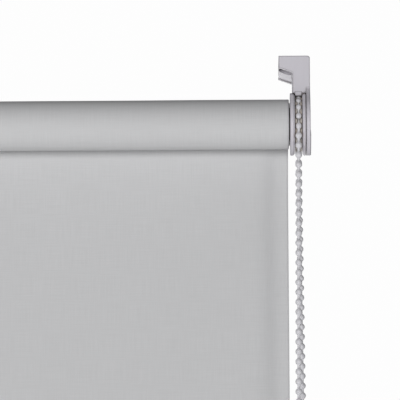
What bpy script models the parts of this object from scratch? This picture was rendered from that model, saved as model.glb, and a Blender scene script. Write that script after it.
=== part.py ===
"""A chain-operated roller blind: two moulded brackets, a wound roll, a hanging
fabric with a weighted hem, a wrap-spring chain clutch and a sprung idle pin.

Frame: +Z up, +X towards the chain side, the room is at -Y and the wall at +Y.
X = 0 is the plane of the bead chain, Y = 0 holds the axis of the roll, and
Z = 0 is the ceiling face of the brackets. Everything is in metres.
"""

import math

import bmesh
import bpy
from mathutils import Matrix, Vector

MM = 0.001
TURN = 2 * math.pi

# Overall sizes
BLIND_WIDTH = 600 * MM  # from bracket face to bracket face
DROP = 1000 * MM  # from the roll's axis to the underside of the hem
GAP = 0.3 * MM  # between pieces that touch or fit in each other

# Brackets
AXIS_DROP = 41.2 * MM  # from the ceiling face to the roll's axis
WALL_REACH = 25.0 * MM  # from the roll's axis to the wall face
FRONT_REACH = 7.5 * MM  # from the roll's axis to the bracket's front
FLANGE_WIDTH = 19.0 * MM
ARM_WIDTH = 10.6 * MM
PLATE_THICKNESS = 2.5 * MM
BLOCK_HEIGHT = 7.2 * MM
BRACKET_WALL = 2.2 * MM
GUSSET_DROP = 2.9 * MM
SHOULDER_RISE = 3.0 * MM  # of the plate's front curve above its round end
RECESS = 0.8 * MM  # of the flange's underside behind its front lip
VISOR_DROP = 1.3 * MM  # of the lip over the chain's groove
VISOR_THICKNESS = 0.9 * MM
EDGE_RADIUS = 0.35 * MM
CORNER_RADIUS = 1.5 * MM
SCREW_HOLE_RADIUS = 2.3 * MM
SCREW_HEAD_RADIUS = 3.8 * MM
SCREW_HEAD_DEPTH = 4.0 * MM
SCREW_SLOT = 3.0 * MM  # how much longer the hole and its seat are from front to back
SCREW_BACK = 9.0 * MM  # from the bracket's front to the hole's middle
LATCH_PAD = 0.3 * MM

# Bead chain and its wheel
BEAD_DIAMETER = 4.1 * MM
BEAD_PITCH = 6.0 * MM
WHEEL_POCKETS = 16
FIRST_POCKET = math.radians(5.5)  # above the front of the wheel
POCKET_DEPTH = 0.3 * MM
CHAIN_RADIUS = WHEEL_POCKETS * BEAD_PITCH / TURN

# Clutch
GUARD_MARGIN = 1.67 * MM  # of the guards beyond the beads
GUARD_CHAMFER = 1.0 * MM
BROW_REACH = 12.5 * MM  # from the axis to the ledge at the guards' front top
BROW_RISE = 16.0 * MM  # from the axis to the top of that ledge
INNER_GUARD = 2.75 * MM
OUTER_GUARD = 2.0 * MM
ROOF_ARC = math.radians(18)  # to each side of the top
SPINDLE_RADIUS = 6.0 * MM
SPINDLE_LENGTH = 30.0 * MM  # from the chain's plane to its tip
SPINDLE_TIP_RADIUS = 3.7 * MM
BOSS_SIDE = 12.0 * MM
SPRING_WIRE = 1.0 * MM
SPRING_PITCH = 1.25 * MM
SPRING_TURNS = 4
SPRING_STARTS = (5.5 * MM, 13.5 * MM)  # from the chain's plane
SLEEVE_CLEARANCE = 1.6 * MM  # between the springs and the wheel's sleeve
SLEEVE_WALL = 1.2 * MM
SLEEVE_SLOT = math.radians(24)  # to each side of the slot's middle
TANG_ANGLE = math.radians(16)
DOG_ANGLE = math.radians(9)
DOG_CLEARANCE = 0.4 * MM
PLUG_SHOULDER_RADIUS = 13.0 * MM
PLUG_SHOULDER = 0.9 * MM
PLUG_WALL = 1.8 * MM
WASHER_RADIUS = 6.2 * MM
WASHER_THICKNESS = 1.0 * MM
SCREW_RADIUS = 1.5 * MM
SCREW_LENGTH = 10.0 * MM
PAN_HEAD_RADIUS = 2.9 * MM
PAN_HEAD_HEIGHT = 1.8 * MM

# Roll
TUBE_RADIUS = 14.0 * MM
TUBE_WALL = 1.2 * MM
TUBE_GROOVE = 1.0 * MM
TUBE_GROOVE_ANGLE = math.radians(20)  # to each side of the groove's middle
STRIP_THICKNESS = 0.6 * MM
FABRIC_THICKNESS = 0.4 * MM
WOUND_THICKNESS = 0.85 * MM  # of the turns left on the tube when the blind is down
ROLL_GAP = 0.8 * MM  # between the roll's end and the inner guard
FABRIC_OVERHANG = 0.7 * MM  # beyond the tube's end
IDLE_SETBACK = 1.1 * MM  # of the roll's end from the idle bracket's arm

# Hem
HEM_HEIGHT = 27.0 * MM
HEM_DEPTH = 5.2 * MM
HEM_WALL = 0.5 * MM
BAR_END_GAP = 10.0 * MM  # from the hem's end to the bar's end
CAP_FLANGE = 1.5 * MM
CAP_MARGIN = 0.9 * MM

# Idle end
PIN_RADIUS = 3.0 * MM
PIN_COLLAR_RADIUS = 5.2 * MM
PIN_COLLAR = 2.0 * MM
BUSH_RADIUS = 5.0 * MM
BUSH_BOSS_WALL = 2.4 * MM
BUSH_BOSS_HEIGHT = 5.6 * MM
IDLE_SHOULDER_RADIUS = 13.4 * MM
IDLE_PLUG_LENGTH = 20.0 * MM  # inside the tube
IDLE_FACE_WALL = 1.5 * MM
IDLE_CAP = 2.6 * MM
IDLE_PLATE_RADIUS = 12.5 * MM
CHAMBER_RADIUS = 6.0 * MM
PIN_SPRING_WIRE = 0.9 * MM
PIN_SPRING_RADIUS = 4.2 * MM
PIN_SPRING_TURNS = 7
PIN_TAIL = 7.0 * MM  # beyond the chamber's cap

# Connector that closes the chain's loop, on the rear strand
CONNECTOR_LENGTH = 14.0 * MM
CONNECTOR_WALL = 0.8 * MM
CONNECTOR_DROP = 1000 * MM  # below the roll's axis

# The chain's route below the wheel: x, y and z in millimetres from the wheel's
# centre, down the front strand, round the bottom and up the rear strand.
# The strands cross over slightly, so each drifts sideways as it hangs.
CHAIN_ROUTE = (
    (0.00, -15.28, -0.3),
    (-0.77, -15.28, -100),
    (-1.54, -15.28, -200),
    (-2.31, -15.28, -300),
    (-3.08, -15.28, -400),
    (-3.85, -15.28, -500),
    (-4.62, -15.28, -600),
    (-5.39, -15.28, -700),
    (-6.16, -15.28, -800),
    (-6.93, -15.28, -900),
    (-7.47, -15.28, -970),
    (-7.76, -15.28, -1008),
    (-7.68, -15.0, -1019),
    (-7.05, -13.7, -1029),
    (-5.3, -10.4, -1038),
    (-2.75, -5.4, -1043.5),
    (0.0, 0.0, -1045),
    (2.75, 5.4, -1043.5),
    (5.3, 10.4, -1038),
    (7.05, 13.7, -1029),
    (7.68, 15.0, -1019),
    (7.76, 15.28, -1008),
    (7.47, 15.28, -970),
    (6.93, 15.28, -900),
    (6.16, 15.28, -800),
    (5.39, 15.28, -700),
    (4.62, 15.28, -600),
    (3.85, 15.28, -500),
    (3.08, 15.28, -400),
    (2.31, 15.28, -300),
    (1.54, 15.28, -200),
    (0.77, 15.28, -100),
    (0.00, 15.28, -0.3),
)
STRAND_DRIFT = 0.0077  # sideways for each metre of drop
ROUTE_STEPS = (2, 3)  # points on a straight stretch and on a bent one

# Places worked out from the sizes above
AXIS_Z = -AXIS_DROP
GROOVE_HALF = BEAD_DIAMETER / 2 + GAP
OUTER_GUARD_X = GROOVE_HALF + OUTER_GUARD
PLATE_IN_X = OUTER_GUARD_X + GAP
PLATE_OUT_X = PLATE_IN_X + PLATE_THICKNESS
INNER_GUARD_X = -GROOVE_HALF - INNER_GUARD
ARM_X = PLATE_OUT_X - ARM_WIDTH
FLANGE_X = PLATE_OUT_X - FLANGE_WIDTH
MIDDLE_X = PLATE_OUT_X - BLIND_WIDTH / 2
GUARD_RADIUS = CHAIN_RADIUS + BEAD_DIAMETER / 2 + GUARD_MARGIN
ROOF_RADIUS = CHAIN_RADIUS + BEAD_DIAMETER / 2 + GAP
WHEEL_RADIUS = CHAIN_RADIUS - BEAD_DIAMETER / 2 - GAP
WHEEL_HALF = GROOVE_HALF - GAP
SPRING_INNER = SPINDLE_RADIUS + GAP
SPRING_MEAN = SPRING_INNER + SPRING_WIRE / 2
SPRING_OUTER = SPRING_INNER + SPRING_WIRE
SLEEVE_INNER = SPRING_OUTER + SLEEVE_CLEARANCE
SLEEVE_OUTER = SLEEVE_INNER + SLEEVE_WALL
PLUG_INNER = SLEEVE_OUTER + GAP
SPINDLE_SHOULDER_X = -SPINDLE_LENGTH + PLUG_WALL + 2 * GAP
ROLL_RIGHT_X = INNER_GUARD_X - ROLL_GAP
TUBE_RIGHT_X = ROLL_RIGHT_X - FABRIC_OVERHANG
TUBE_INNER = TUBE_RADIUS - TUBE_WALL
ROLL_RADIUS = TUBE_RADIUS + GAP + WOUND_THICKNESS
IDLE_PLATE_X = 2 * MIDDLE_X - PLATE_IN_X
IDLE_OUT_X = 2 * MIDDLE_X - PLATE_OUT_X
IDLE_ARM_X = 2 * MIDDLE_X - ARM_X
ROLL_LEFT_X = IDLE_ARM_X + IDLE_SETBACK
TUBE_LEFT_X = ROLL_LEFT_X - GAP
BOSS_END_X = IDLE_PLATE_X + BUSH_BOSS_HEIGHT
IDLE_FACE_X = BOSS_END_X + 2 * GAP
IDLE_PLUG_X = TUBE_LEFT_X + IDLE_PLUG_LENGTH
SHEET_Y = ROLL_RADIUS + GAP + FABRIC_THICKNESS / 2
HEM_BOTTOM_Z = AXIS_Z - DROP
HEM_MIDDLE_Z = HEM_BOTTOM_Z + HEM_HEIGHT / 2
SLOT_MIDDLE = -math.pi / 2  # the clutch's dogs point down
BROW_TANGENT = math.pi - math.atan2(BROW_RISE, BROW_REACH) + math.acos(
    GUARD_RADIUS / math.hypot(BROW_REACH, BROW_RISE)
)

# Colours
PLASTIC = (0.72, 0.71, 0.74, 1)
FABRIC = (0.62, 0.62, 0.64, 1)
METAL = (0.66, 0.67, 0.68, 1)
STEEL = (0.55, 0.55, 0.56, 1)
BEADS = (0.80, 0.80, 0.82, 1)


def clear_scene():
    for obj in list(bpy.data.objects):
        bpy.data.objects.remove(obj)


def material(name, colour, roughness, metallic=0.0):
    made = bpy.data.materials.new(name)
    made.use_nodes = True
    shader = made.node_tree.nodes["Principled BSDF"]
    shader.inputs["Base Color"].default_value = colour
    shader.inputs["Roughness"].default_value = roughness
    shader.inputs["Metallic"].default_value = metallic
    return made


def face_out(bm):
    """Turns every face outwards; a coil needs its volume's sign as well."""
    bmesh.ops.recalc_face_normals(bm, faces=bm.faces)
    if bm.calc_volume(signed=True) < 0:
        bmesh.ops.reverse_faces(bm, faces=bm.faces)


def place(name, bm, look, origin=(0, 0, 0)):
    """One named object from a bmesh in the part's frame, with its own origin."""
    face_out(bm)
    bmesh.ops.translate(bm, verts=bm.verts, vec=-Vector(origin))
    mesh = bpy.data.meshes.new(name)
    bm.to_mesh(mesh)
    bm.free()
    mesh.shade_smooth()
    mesh.set_sharp_from_angle(angle=math.radians(32))
    obj = bpy.data.objects.new(name, mesh)
    obj.location = origin
    mesh.materials.append(look)
    bpy.context.scene.collection.objects.link(obj)
    return obj


def boolean(bm, tool, operation):
    """bm after a Boolean with tool; both are used up."""
    pair = []
    for shape in (bm, tool):
        face_out(shape)
        mesh = bpy.data.meshes.new("shape")
        shape.to_mesh(mesh)
        shape.free()
        obj = bpy.data.objects.new("shape", mesh)
        bpy.context.scene.collection.objects.link(obj)
        pair.append(obj)
    modifier = pair[0].modifiers.new("boolean", "BOOLEAN")
    modifier.operation = operation
    modifier.object = pair[1]
    modifier.solver = "EXACT"
    graph = bpy.context.evaluated_depsgraph_get()
    result = bmesh.new()
    result.from_mesh(pair[0].evaluated_get(graph).data)
    for obj in pair:
        bpy.data.objects.remove(obj)
    return result


def cut(bm, tool):
    return boolean(bm, tool, "DIFFERENCE")


def join(bm, tool):
    return boolean(bm, tool, "UNION")


def box(low, high):
    bm = bmesh.new()
    size = Vector(high) - Vector(low)
    centre = (Vector(high) + Vector(low)) / 2
    bmesh.ops.create_cube(bm, size=1, matrix=Matrix.Translation(centre) @ Matrix.Diagonal(size).to_4x4())
    return bm


def loft(rings, closed=False):
    """A skin over rings of equal length; open lofts get end caps."""
    bm = bmesh.new()
    loops = [[bm.verts.new(point) for point in ring] for ring in rings]
    count = len(loops[0])
    pairs = list(zip(loops, loops[1:] + loops[:1])) if closed else list(zip(loops, loops[1:]))
    for first, second in pairs:
        for i in range(count):
            j = (i + 1) % count
            bm.faces.new((first[i], first[j], second[j], second[i]))
    if not closed:
        bm.faces.new(loops[0])
        bm.faces.new(reversed(loops[-1]))
    return bm


def extrude_x(outline, x0, x1):
    """A prism along X from (y, z) points."""
    return loft([[(x, y, z) for y, z in outline] for x in (x0, x1)])


def extrude_y(outline, y0, y1):
    """A prism along Y from (x, z) points."""
    return loft([[(x, y, z) for x, z in outline] for y in (y0, y1)])


def polar(radius, angle, y=0.0, z=None):
    """(y, z) at an angle from +Y towards +Z about the roll's axis."""
    base = AXIS_Z if z is None else z
    return y + radius * math.cos(angle), base + radius * math.sin(angle)


def turned(profile, closed, segments=48, centre=(0.0, None)):
    """A turned body about an X axis from (x, radius) points; an open profile starts and ends on the axis.

    A radius may be a function of the angle."""
    bm = bmesh.new()
    rings = []
    for x, radius in profile:
        if radius == 0:
            y, z = polar(0, 0, *centre)
            rings.append([bm.verts.new((x, y, z))] * segments)
            continue
        angles = [TURN * i / segments for i in range(segments)]
        radii = [radius(angle) if callable(radius) else radius for angle in angles]
        points = [polar(r, angle, *centre) for r, angle in zip(radii, angles)]
        rings.append([bm.verts.new((x, y, z)) for y, z in points])
    following = rings[1:] + rings[:1] if closed else rings[1:]
    for first, second in zip(rings, following):
        for i in range(segments):
            j = (i + 1) % segments
            corners = list(dict.fromkeys((first[i], first[j], second[j], second[i])))
            bm.faces.new(corners)
    return bm


def shell(stations, segments=72):
    """A ring-shaped body from (x, radius) stations round its section.

    A radius may be a function of the angle."""
    angles = [TURN * i / segments for i in range(segments)]
    rings = []
    for x, radius in stations:
        radii = [radius(angle) if callable(radius) else radius for angle in angles]
        rings.append([(x, *polar(r, angle)) for r, angle in zip(radii, angles)])
    return loft(rings, closed=True)


def tube_x(outer, inner, x0, x1, segments=72):
    return shell([(x0, outer), (x1, outer), (x1, inner), (x0, inner)], segments)


def sector(inner, outer, middle, half, x0, x1, steps=12):
    """Part of a ring, half to each side of the middle angle."""
    angles = [middle - half + 2 * half * i / steps for i in range(steps + 1)]
    outline = [polar(outer, angle) for angle in angles]
    outline += [polar(inner, angle) for angle in reversed(angles)]
    return extrude_x(outline, x0, x1)


def stadium(width, height, y, z, steps=8):
    """(y, z) points of an upright slab with round ends."""
    radius = width / 2
    straight = height / 2 - radius
    top = [polar(radius, math.pi * i / steps, y, z + straight) for i in range(steps + 1)]
    bottom = [polar(radius, math.pi * (1 + i / steps), y, z - straight) for i in range(steps + 1)]
    return top + bottom


def soften(bm, width, least_angle=math.radians(40), segments=1):
    """Rounds the sharp edges of a moulded piece."""
    bmesh.ops.dissolve_limit(bm, angle_limit=math.radians(0.5), verts=bm.verts, edges=bm.edges)
    sharp = [edge for edge in bm.edges if edge.is_manifold and edge.calc_face_angle() > least_angle]
    bmesh.ops.bevel(
        bm,
        geom=sharp,
        offset=width,
        offset_type="OFFSET",
        segments=segments,
        profile=0.5,
        affect="EDGES",
        clamp_overlap=True,
    )
    return bm


def mirrored(bm):
    """The same shape at the idle end."""
    for vert in bm.verts:
        vert.co.x = 2 * MIDDLE_X - vert.co.x
    bmesh.ops.reverse_faces(bm, faces=bm.faces)
    return bm


def side_plate(end_radius):
    """(y, z) outline of a bracket's plate: a straight top that curves out into a round lower end."""
    shoulder = Vector((-FRONT_REACH, AXIS_Z + end_radius + SHOULDER_RISE))
    meeting = Vector(polar(end_radius, BROW_TANGENT))
    uphill = Vector((math.sin(BROW_TANGENT), -math.cos(BROW_TANGENT)))
    above = shoulder - Vector((0, SHOULDER_RISE))
    below = meeting + uphill * SHOULDER_RISE
    curve = []
    for i in range(8):
        t = i / 8
        s = 1 - t
        curve.append(tuple(s**3 * shoulder + 3 * s**2 * t * above + 3 * s * t**2 * below + t**3 * meeting))
    back = TURN - math.radians(14)
    steps = 30
    arc = [polar(end_radius, BROW_TANGENT + (back - BROW_TANGENT) * i / steps) for i in range(steps + 1)]
    wall_foot = (WALL_REACH, AXIS_Z + end_radius / 8)
    return [(WALL_REACH, 0), (-FRONT_REACH, 0)] + curve + arc + [wall_foot]


def bracket(end_radius):
    """The moulded body that both brackets share, at the chain side."""
    foot = AXIS_Z + math.sqrt(GUARD_RADIUS**2 - FRONT_REACH**2)
    corner = [
        (
            PLATE_OUT_X - CORNER_RADIUS + CORNER_RADIUS * math.sin(math.pi / 2 * i / 6),
            -CORNER_RADIUS + CORNER_RADIUS * math.cos(math.pi / 2 * i / 6),
        )
        for i in range(7)
    ]
    gusset_x = ARM_X - EDGE_RADIUS
    outline = [
        (FLANGE_X, 0),
        *corner,
        (PLATE_OUT_X, foot),
        (ARM_X, foot),
        (ARM_X, -BLOCK_HEIGHT - GUSSET_DROP - EDGE_RADIUS),
        (gusset_x, -BLOCK_HEIGHT - GUSSET_DROP),
        (FLANGE_X, -BLOCK_HEIGHT),
    ]
    body = extrude_y(outline, -FRONT_REACH, WALL_REACH)
    lip_back = -FRONT_REACH + BRACKET_WALL
    rib_front = WALL_REACH - BRACKET_WALL
    below = -BLOCK_HEIGHT - GUSSET_DROP - BRACKET_WALL
    fall = GUSSET_DROP / (gusset_x - FLANGE_X)
    recess = [
        (FLANGE_X - BRACKET_WALL, RECESS - BLOCK_HEIGHT + fall * BRACKET_WALL),
        (gusset_x, RECESS - BLOCK_HEIGHT - GUSSET_DROP),
        (gusset_x, below),
        (FLANGE_X - BRACKET_WALL, below),
    ]
    body = cut(body, extrude_y(recess, lip_back, rib_front))
    floor = AXIS_Z + GUARD_RADIUS + GAP + BRACKET_WALL
    body = cut(body, box((ARM_X - BRACKET_WALL, lip_back, floor), (PLATE_IN_X, rib_front, below)))
    plate = extrude_x(side_plate(end_radius), PLATE_IN_X, PLATE_OUT_X)
    rounding = extrude_y(
        [(PLATE_OUT_X - CORNER_RADIUS, CORNER_RADIUS), *corner, (PLATE_OUT_X + CORNER_RADIUS, -CORNER_RADIUS),
         (PLATE_OUT_X + CORNER_RADIUS, CORNER_RADIUS)],
        -FRONT_REACH - BRACKET_WALL,
        WALL_REACH + BRACKET_WALL,
    )
    return join(body, cut(plate, rounding))


def screw_hole(bm):
    """The ceiling screw's hole, with a flat seat for its head, through the flange."""
    below = -BLOCK_HEIGHT - GUSSET_DROP - BRACKET_WALL
    shank = slot_z(SCREW_HOLE_RADIUS, below, BRACKET_WALL)
    head = slot_z(SCREW_HEAD_RADIUS, below, SCREW_HEAD_DEPTH - BLOCK_HEIGHT)
    return cut(cut(bm, shank), head)


def slot_z(radius, z0, z1, segments=32):
    """An upright slot at the ceiling screw's place, longer from front to back."""
    x = (FLANGE_X + ARM_X) / 2
    outline = []
    for i in range(segments):
        angle = TURN * (i + 0.5) / segments
        side = math.copysign(SCREW_SLOT / 2, math.sin(angle))
        y = SCREW_BACK - FRONT_REACH + side + radius * math.sin(angle)
        outline.append((x + radius * math.cos(angle), y))
    return loft([[(x, y, z) for x, y in outline] for z in (z0, z1)])


def disc_x(radius, x0, x1, segments=48):
    return turned([(x0, 0), (x0, radius), (x1, radius), (x1, 0)], closed=False, segments=segments)


def chain_bracket(look):
    body = bracket(GUARD_RADIUS)
    clearance = disc_x(GUARD_RADIUS + GAP, ARM_X - BRACKET_WALL, PLATE_IN_X, segments=96)
    body = screw_hole(cut(body, clearance))
    foot = AXIS_Z + math.sqrt(GUARD_RADIUS**2 - FRONT_REACH**2)
    visor_low = (-WHEEL_HALF, -FRONT_REACH, foot - VISOR_DROP)
    visor_high = (WHEEL_HALF, -FRONT_REACH + VISOR_THICKNESS, foot + VISOR_DROP)
    body = join(body, box(visor_low, visor_high))
    half = BOSS_SIDE / 2 + GAP
    window = box((PLATE_IN_X - GAP, -half, AXIS_Z - half), (PLATE_OUT_X + GAP, half, AXIS_Z + half))
    body = soften(cut(body, window), EDGE_RADIUS)
    pad = sector(GUARD_RADIUS / 2, GUARD_RADIUS - EDGE_RADIUS, -math.pi / 2, math.radians(55),
                 PLATE_OUT_X - LATCH_PAD, PLATE_OUT_X + LATCH_PAD, steps=24)
    return place("chain_bracket", join(body, pad), look)


def idle_bracket(look):
    body = screw_hole(bracket(IDLE_PLATE_RADIUS))
    bore_radius = BUSH_RADIUS + GAP
    boss_end = PLATE_IN_X - BUSH_BOSS_HEIGHT
    boss = disc_x(bore_radius + BUSH_BOSS_WALL, boss_end, PLATE_IN_X + PLATE_THICKNESS / 2)
    bore = disc_x(bore_radius, boss_end - BUSH_BOSS_HEIGHT, PLATE_OUT_X + PLATE_THICKNESS)
    body = soften(cut(join(body, boss), bore), EDGE_RADIUS)
    return place("idle_bracket", mirrored(body), look)


def guard_rim(inset=0.0):
    """The guards' radius at an angle: round, with a flat front top that ends in a ledge below the arm."""
    ledge = math.pi - math.asin(BROW_RISE / GUARD_RADIUS)

    def radius(angle):
        if ledge < angle < BROW_TANGENT:
            flat = GUARD_RADIUS / math.cos(angle - BROW_TANGENT)
            return min(flat, BROW_RISE / math.sin(angle)) - inset
        return GUARD_RADIUS - inset

    return radius


def clutch_housing(look):
    """Outer guard, fixed spindle, square boss and the roof over the chain."""
    profile = [
        (OUTER_GUARD_X, 0),
        (OUTER_GUARD_X, guard_rim(EDGE_RADIUS)),
        (OUTER_GUARD_X - EDGE_RADIUS, guard_rim()),
        (GROOVE_HALF + GUARD_CHAMFER, guard_rim()),
        (GROOVE_HALF, guard_rim(GUARD_CHAMFER)),
        (GROOVE_HALF, SPINDLE_RADIUS),
        (SPINDLE_SHOULDER_X, SPINDLE_RADIUS),
        (SPINDLE_SHOULDER_X, SPINDLE_TIP_RADIUS),
        (-SPINDLE_LENGTH, SPINDLE_TIP_RADIUS),
        (-SPINDLE_LENGTH, SCREW_RADIUS + GAP),
        (-SPINDLE_LENGTH + SCREW_LENGTH, SCREW_RADIUS + GAP),
        (-SPINDLE_LENGTH + SCREW_LENGTH, 0),
    ]
    body = turned(profile, closed=False, segments=144)
    half = BOSS_SIDE / 2
    guard_middle = GROOVE_HALF + OUTER_GUARD / 2
    boss = box((guard_middle, -half, AXIS_Z - half), (PLATE_OUT_X, half, AXIS_Z + half))
    roof = sector(ROOF_RADIUS, GUARD_RADIUS, math.pi / 2, ROOF_ARC, -WHEEL_HALF, guard_middle)
    return place("clutch_housing", join(join(body, boss), roof), look)


def guard_cover(look):
    profile = [
        (-GROOVE_HALF, guard_rim(GUARD_CHAMFER)),
        (-GROOVE_HALF - GUARD_CHAMFER, guard_rim()),
        (INNER_GUARD_X + EDGE_RADIUS, guard_rim()),
        (INNER_GUARD_X, guard_rim(EDGE_RADIUS)),
        (INNER_GUARD_X, PLUG_INNER),
        (-GROOVE_HALF, PLUG_INNER),
    ]
    return place("guard_cover", turned(profile, closed=True, segments=144), look)


def chain_wheel(look):
    """A pocketed wheel with a slotted sleeve that turns the springs and the drive plug."""

    def rim(angle):
        front = math.pi - FIRST_POCKET
        return WHEEL_RADIUS - POCKET_DEPTH * (1 + math.cos(WHEEL_POCKETS * (angle - front))) / 2

    body = tube_x(rim, SPINDLE_RADIUS + GAP, -WHEEL_HALF, WHEEL_HALF, segments=5 * WHEEL_POCKETS)
    web = WHEEL_HALF / 2
    sleeve_end = SPINDLE_SHOULDER_X + PLUG_WALL
    opposite = SLOT_MIDDLE + math.pi
    sleeve = sector(SLEEVE_INNER, SLEEVE_OUTER, opposite, math.pi - SLEEVE_SLOT, sleeve_end, -web, steps=40)
    axis = (0, 0, AXIS_Z)
    return place("chain_wheel", join(body, sleeve), look, axis)


def wire_sweep(path, radial, half_width, half_height):
    """A rectangular wire along X-ish turns: radial gives each point's outward direction."""
    rings = []
    for point, out in zip(path, radial):
        along_x = Vector((half_height, 0, 0))
        side = out * half_width
        corners = ((side, along_x), (side, -along_x), (-side, -along_x), (-side, along_x))
        rings.append([point + across + along for across, along in corners])
    return loft(rings)


def wrap_spring(name, start, look):
    """Square wire wound on the spindle, with both ends bent out beside the drive dog."""
    steps = 20 * SPRING_TURNS
    first = SLOT_MIDDLE + TANG_ANGLE
    total = TURN * SPRING_TURNS - 2 * TANG_ANGLE
    half = SPRING_WIRE / 2
    tang_radius = SLEEVE_INNER - 2 * GAP
    path = []
    sides = []

    def add(radius, angle, turn_share, side):
        y, z = polar(radius, angle)
        path.append(Vector((-start - SPRING_PITCH * SPRING_TURNS * turn_share, y, z)))
        sides.append(side)

    def outward(angle):
        return Vector((0, math.cos(angle), math.sin(angle)))

    def around(angle):
        return Vector((0, -math.sin(angle), math.cos(angle)))

    def mitre(angle, way):
        return outward(angle) + around(angle) * way

    add(tang_radius, first, 0, -around(first))
    add(SPRING_MEAN, first, 0, mitre(first, -1))
    for i in range(1, steps):
        angle = first + total * i / steps
        add(SPRING_MEAN, angle, i / steps, outward(angle))
    last = first + total
    add(SPRING_MEAN, last, 1, mitre(last, 1))
    add(tang_radius, last, 1, around(last))
    return place(name, wire_sweep(path, sides, half, half), look, (0, 0, AXIS_Z))


def tube_inset(angle):
    """How far the tube's wall is pressed in at an angle: a groove at the top."""
    away = abs((angle - math.pi / 2 + math.pi) % TURN - math.pi)
    ramp = (TUBE_GROOVE_ANGLE - away) / (TUBE_GROOVE_ANGLE / 4)
    return TUBE_GROOVE * max(0, min(1, ramp))


def plug_outer(angle):
    return TUBE_INNER - GAP - tube_inset(angle)


def drive_plug(look):
    """Turns the tube: a crown with an inner dog, a shoulder at the mouth and a bearing wall at the end."""
    dog_tip = SPRING_OUTER + DOG_CLEARANCE

    def bore(angle):
        away = abs((angle - SLOT_MIDDLE + math.pi) % TURN - math.pi)
        return dog_tip if away < DOG_ANGLE else PLUG_INNER

    shoulder_x = INNER_GUARD_X - GAP
    mouth_x = shoulder_x - PLUG_SHOULDER
    wall_x = SPINDLE_SHOULDER_X - GAP
    stations = [
        (wall_x - PLUG_WALL, SPINDLE_TIP_RADIUS + GAP),
        (wall_x - PLUG_WALL, plug_outer),
        (mouth_x, plug_outer),
        (mouth_x, PLUG_SHOULDER_RADIUS),
        (shoulder_x, PLUG_SHOULDER_RADIUS),
        (shoulder_x, bore),
        (wall_x, bore),
        (wall_x, SPINDLE_TIP_RADIUS + GAP),
    ]
    return place("drive_plug", shell(stations), look, (0, 0, AXIS_Z))


def retaining_washer(look):
    x1 = -SPINDLE_LENGTH - GAP
    x0 = x1 - WASHER_THICKNESS
    bore = SCREW_RADIUS + GAP
    profile = [(x0, bore), (x0, WASHER_RADIUS), (x1, WASHER_RADIUS), (x1, bore)]
    return place("retaining_washer", turned(profile, closed=True, segments=32), look)


def spindle_screw(look):
    head_x = -SPINDLE_LENGTH - WASHER_THICKNESS - 2 * GAP
    dome = [
        (
            head_x - PAN_HEAD_HEIGHT * math.sin(math.pi / 2 * i / 5),
            PAN_HEAD_RADIUS * (0.62 + 0.38 * math.cos(math.pi / 2 * i / 5)),
        )
        for i in range(6)
    ]
    tip_x = head_x + SCREW_LENGTH - WASHER_THICKNESS
    profile = [(tip_x, 0), (tip_x, SCREW_RADIUS - GAP), (tip_x - GAP, SCREW_RADIUS), (head_x, SCREW_RADIUS)]
    profile += dome + [(head_x - PAN_HEAD_HEIGHT, 0)]
    body = turned(profile, closed=False, segments=24)
    slot_half = PAN_HEAD_RADIUS / 8
    slot_depth = PAN_HEAD_HEIGHT / 2
    low = (head_x - 2 * PAN_HEAD_HEIGHT, -PAN_HEAD_RADIUS, AXIS_Z - slot_half)
    high = (head_x - PAN_HEAD_HEIGHT + slot_depth, PAN_HEAD_RADIUS, AXIS_Z + slot_half)
    return place("spindle_screw", cut(body, box(low, high)), look)


def roller_tube(look):
    def outer(angle):
        return TUBE_RADIUS - tube_inset(angle)

    def inner(angle):
        return TUBE_INNER - tube_inset(angle)

    body = tube_x(outer, inner, TUBE_LEFT_X, TUBE_RIGHT_X)
    return place("roller_tube", body, look, (0, 0, AXIS_Z))


def fixing_strip(look):
    """Holds the fabric's end in the tube's groove."""
    half = TUBE_GROOVE_ANGLE * 0.6
    inner = TUBE_RADIUS - TUBE_GROOVE + GAP
    left = TUBE_LEFT_X + GAP
    right = TUBE_RIGHT_X - GAP
    body = sector(inner, inner + STRIP_THICKNESS, math.pi / 2, half, left, right, steps=6)
    return place("fixing_strip", body, look, (0, 0, AXIS_Z))


def fabric_roll(look):
    inner = ROLL_RADIUS - WOUND_THICKNESS
    body = tube_x(ROLL_RADIUS, inner, ROLL_LEFT_X, ROLL_RIGHT_X)
    return place("fabric_roll", body, look, (0, 0, AXIS_Z))


def hanging_fabric(look):
    half = FABRIC_THICKNESS / 2
    low = (ROLL_LEFT_X, SHEET_Y - half, HEM_BOTTOM_Z + HEM_HEIGHT + GAP)
    high = (ROLL_RIGHT_X, SHEET_Y + half, AXIS_Z)
    return place("hanging_fabric", box(low, high), look)


def hem_pocket(look):
    def ring(x, inset):
        outline = stadium(HEM_DEPTH - 2 * inset, HEM_HEIGHT - 2 * inset, SHEET_Y, HEM_MIDDLE_Z)
        return [(x, y, z) for y, z in outline]

    stations = ((ROLL_LEFT_X, 0), (ROLL_RIGHT_X, 0), (ROLL_RIGHT_X, HEM_WALL), (ROLL_LEFT_X, HEM_WALL))
    rings = [ring(x, inset) for x, inset in stations]
    return place("hem_pocket", loft(rings, closed=True), look)


def bottom_bar(look):
    inset = 2 * (HEM_WALL + GAP)
    outline = stadium(HEM_DEPTH - inset, HEM_HEIGHT - inset, SHEET_Y, HEM_MIDDLE_Z)
    body = extrude_x(outline, ROLL_LEFT_X + BAR_END_GAP, ROLL_RIGHT_X - BAR_END_GAP)
    return place("bottom_bar", body, look)


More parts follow.
